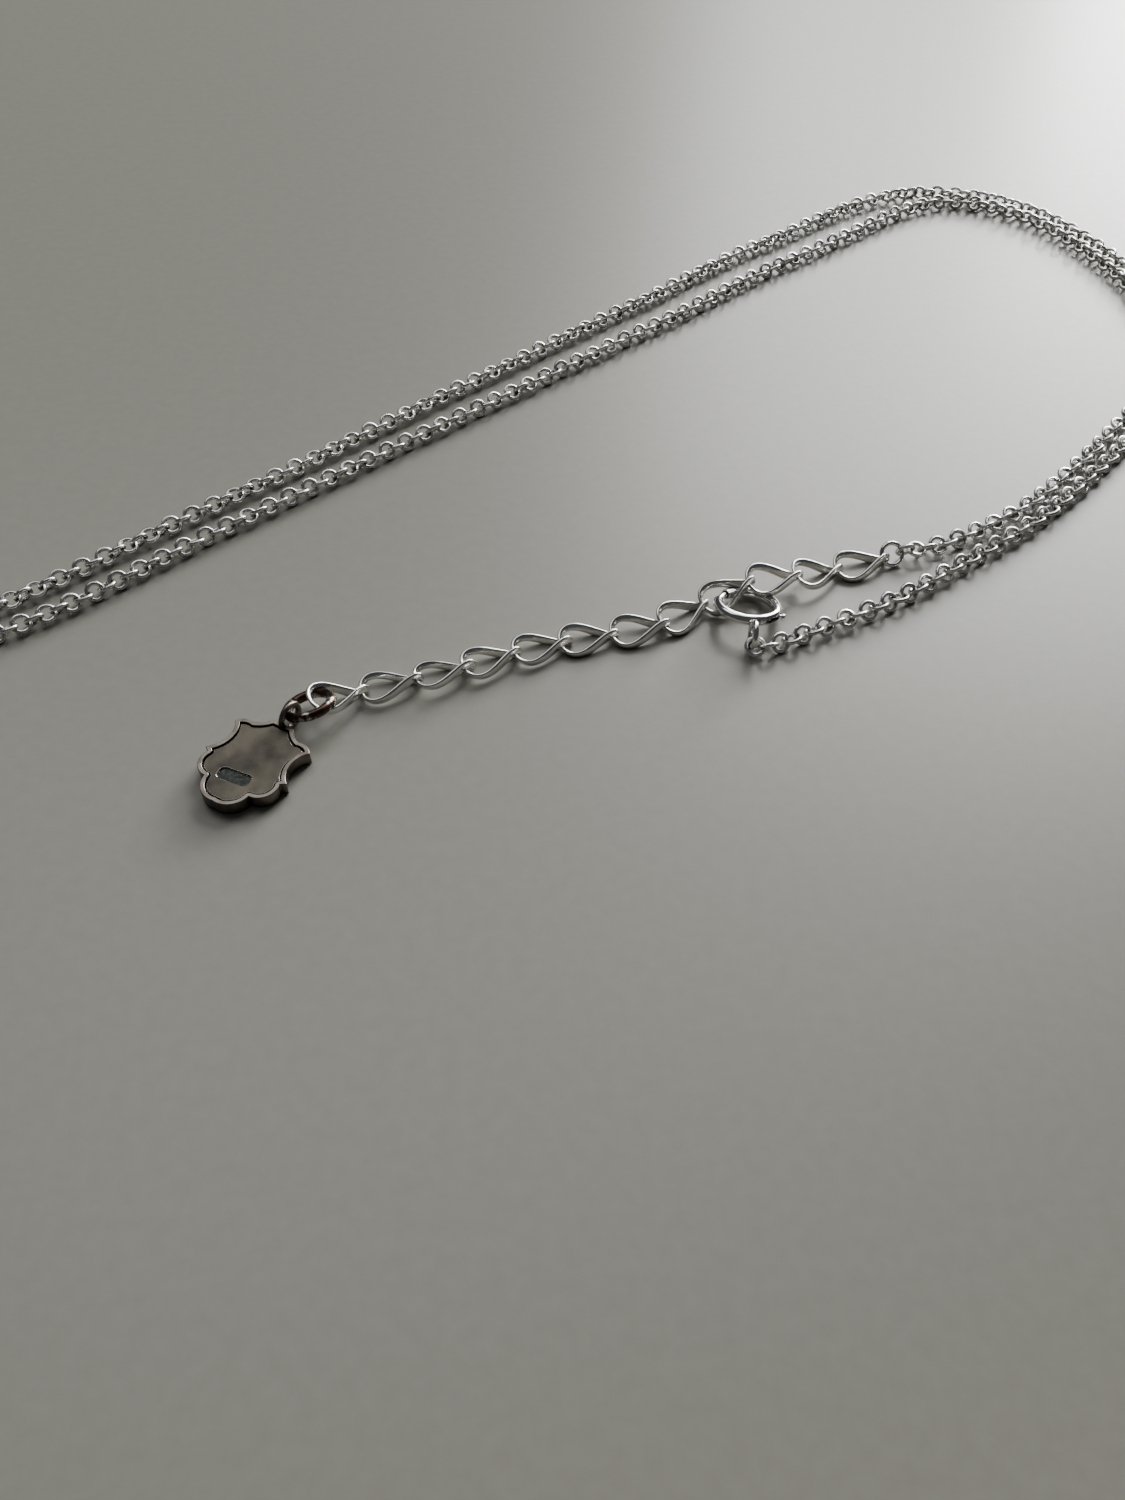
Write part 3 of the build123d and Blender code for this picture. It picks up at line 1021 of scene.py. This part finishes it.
@dataclass
class HandTag:
    """The cast hand with its dark back plate, its eye and the thick jump ring.

    Lengths are in millimetres. The floor of the stamp field faces up, and lies further than the
    margin from the plate's top and underside.
    """

    rim_edge: float = 0.17
    rim_steps: int = 4
    plate_edge: float = 0.09
    eye_edge: float = 0.02
    stamp_depth: float = 0.16
    stamp_margin: float = 0.02
    facing_up: float = 0.9
    groove: float = 0.11
    jump_ring_outer_diameter: float = 4.50
    jump_ring_wire: float = 0.80
    jump_ring_seam: float = 0.04
    jump_ring_seam_at: float = 250

    def stamp(self, plate: bpy.types.Object) -> None:
        """Strike the plate's bare stamp field to its full depth and blacken its floor.

        Args:
            plate: The plate, with its materials on.
        """
        corners = plate.data.vertices
        top = max(corner.co.z for corner in corners)
        bottom = min(corner.co.z for corner in corners)
        margin = self.stamp_margin * MM
        for face in plate.data.polygons:
            if face.normal.z > self.facing_up and bottom + margin < face.center.z < top - margin:
                face.material_index = PlateFinish.STAMP.value
                for corner in face.vertices:
                    corners[corner].co.z = top - self.stamp_depth * MM

    def draw_in(self, plate: bpy.types.Object) -> None:
        """Draw the plate in towards its middle, which opens the dark groove along the rim.

        Args:
            plate: The plate.
        """
        corners = plate.data.vertices
        for axis in (0, 1):
            low = min(corner.co[axis] for corner in corners)
            high = max(corner.co[axis] for corner in corners)
            middle = (low + high) / 2
            scale = 1 - 2 * self.groove * MM / (high - low)
            for corner in corners:
                corner.co[axis] = middle + (corner.co[axis] - middle) * scale

    def build(self, wardrobe: Wardrobe) -> None:
        """Make the tag's pieces.

        Args:
            wardrobe: The finishes.
        """
        body = softened("tag_body", "hand_tag", self.rim_edge, self.rim_steps)
        wardrobe.dress(body, Slot.TAG, "tag", "tag_body")
        plate = softened("tag_back_plate", "hand_tag_plate", self.plate_edge)
        finishes = {
            PlateFinish.BACK: wardrobe.metals[Slot.PLATE],
            PlateFinish.EDGE: WORN_EDGE.material(),
            PlateFinish.STAMP: STAMPED.material(),
        }
        for place in PlateFinish:
            plate.data.materials.append(finishes[place])
        plate.modifiers["softened edges"].material = PlateFinish.EDGE.value
        self.stamp(plate)
        self.draw_in(plate)
        wardrobe.dress(plate, Slot.PLATE, "tag", "tag_back_plate")
        eye = softened("tag_eye", "hand_tag_eye", self.eye_edge)
        wardrobe.dress(eye, Slot.TAG, "tag", "tag_eye")
        ring = round_ring(
            "jump_ring",
            "tag_jump_ring",
            self.jump_ring_outer_diameter,
            self.jump_ring_wire,
            self.jump_ring_seam,
            self.jump_ring_seam_at,
        )
        wardrobe.dress(ring, Slot.OXIDISED, "jump_ring", "tag_jump_ring")


# ---------------------------------------------------------------------------------------------
# Floor, light and camera
# ---------------------------------------------------------------------------------------------


@dataclass(frozen=True)
class Lamp:
    """A soft oblong lamp that faces the necklace, in metres and watts."""

    name: str
    place: tuple[float, float, float]
    width: float
    height: float
    power: float

    def hang(self) -> None:
        """Hang the lamp."""
        light = bpy.data.lights.new(self.name, "AREA")
        light.shape = "RECTANGLE"
        light.size, light.size_y = self.width, self.height
        light.energy = self.power
        lamp = bpy.data.objects.new(self.name, light)
        lamp.location = self.place
        lamp.rotation_euler = (-Vector(self.place)).to_track_quat("-Z", "Y").to_euler()
        bpy.context.scene.collection.objects.link(lamp)


@dataclass
class Studio:
    """A plain pale table top, a broad soft light from behind and to the right, and the camera.

    Lengths are in metres. The camera looks down by its pitch, in degrees.
    """

    floor_side: float = 3.0
    floor_drop: float = 0.00003
    floor_colour: Colour = (0.250, 0.243, 0.207)
    floor_speckle: Colour = (0.295, 0.288, 0.248)
    speckles_per_metre: float = 900
    speckle_detail: float = 5
    floor_roughness: float = 0.36
    lamps: tuple[Lamp, ...] = (
        Lamp("window", (0.56, 1.28, 0.80), 0.90, 0.75, 25.0),
        Lamp("low window", (0.54, 0.84, 0.25), 0.36, 0.20, 10.5),
        Lamp("ceiling", (-0.20, 0.75, 1.30), 1.50, 0.90, 6.5),
    )
    room_colour: Colour = (0.80, 0.85, 0.90)
    room_strength: float = 0.06
    camera_place: tuple[float, float, float] = (-0.001, -0.107, 0.0745)
    camera_pitch: float = 49.5
    camera_near: float = 0.001
    lens: float = 29.76

    def floor(self) -> None:
        """Lay the table top."""
        half = self.floor_side / 2
        corners = [(-half, -half), (half, -half), (half, half), (-half, half)]
        points = np.array([(x, y, -self.floor_drop) for x, y in corners])
        top = mesh_object("table_top", points, [(0, 1, 2, 3)])
        paint = Painter("pale table top")
        speckle = paint.noise(self.speckles_per_metre, self.speckle_detail)
        tone = paint.mixed(speckle, paint.plain(self.floor_colour), self.floor_speckle)
        paint.links.new(tone, paint.shader.inputs["Base Color"])
        paint.shader.inputs["Roughness"].default_value = self.floor_roughness
        top.data.materials.append(paint.material)

    def camera(self) -> None:
        """Set up the camera."""
        view = bpy.data.cameras.new("camera")
        view.lens = self.lens
        view.clip_start = self.camera_near
        camera = bpy.data.objects.new("camera", view)
        camera.location = self.camera_place
        camera.rotation_euler = (math.radians(90 - self.camera_pitch), 0, 0)
        bpy.context.scene.collection.objects.link(camera)
        bpy.context.scene.camera = camera

    def build(self) -> None:
        """Set the stage."""
        self.floor()
        for lamp in self.lamps:
            lamp.hang()
        world = bpy.data.worlds.new("room")
        world.use_nodes = True
        backdrop = world.node_tree.nodes["Background"]
        backdrop.inputs["Color"].default_value = (*self.room_colour, 1)
        backdrop.inputs["Strength"].default_value = self.room_strength
        bpy.context.scene.world = world
        self.camera()


def main() -> None:
    """Build the necklace and its stage."""
    logging.basicConfig(level=logging.INFO, format="%(name)s: %(message)s")
    wardrobe = Wardrobe()
    RoloChain().build(wardrobe)
    Extender().build(wardrobe)
    Clasp().build(wardrobe)
    HandTag().build(wardrobe)
    Studio().build()


if __name__ == "__main__":
    main()
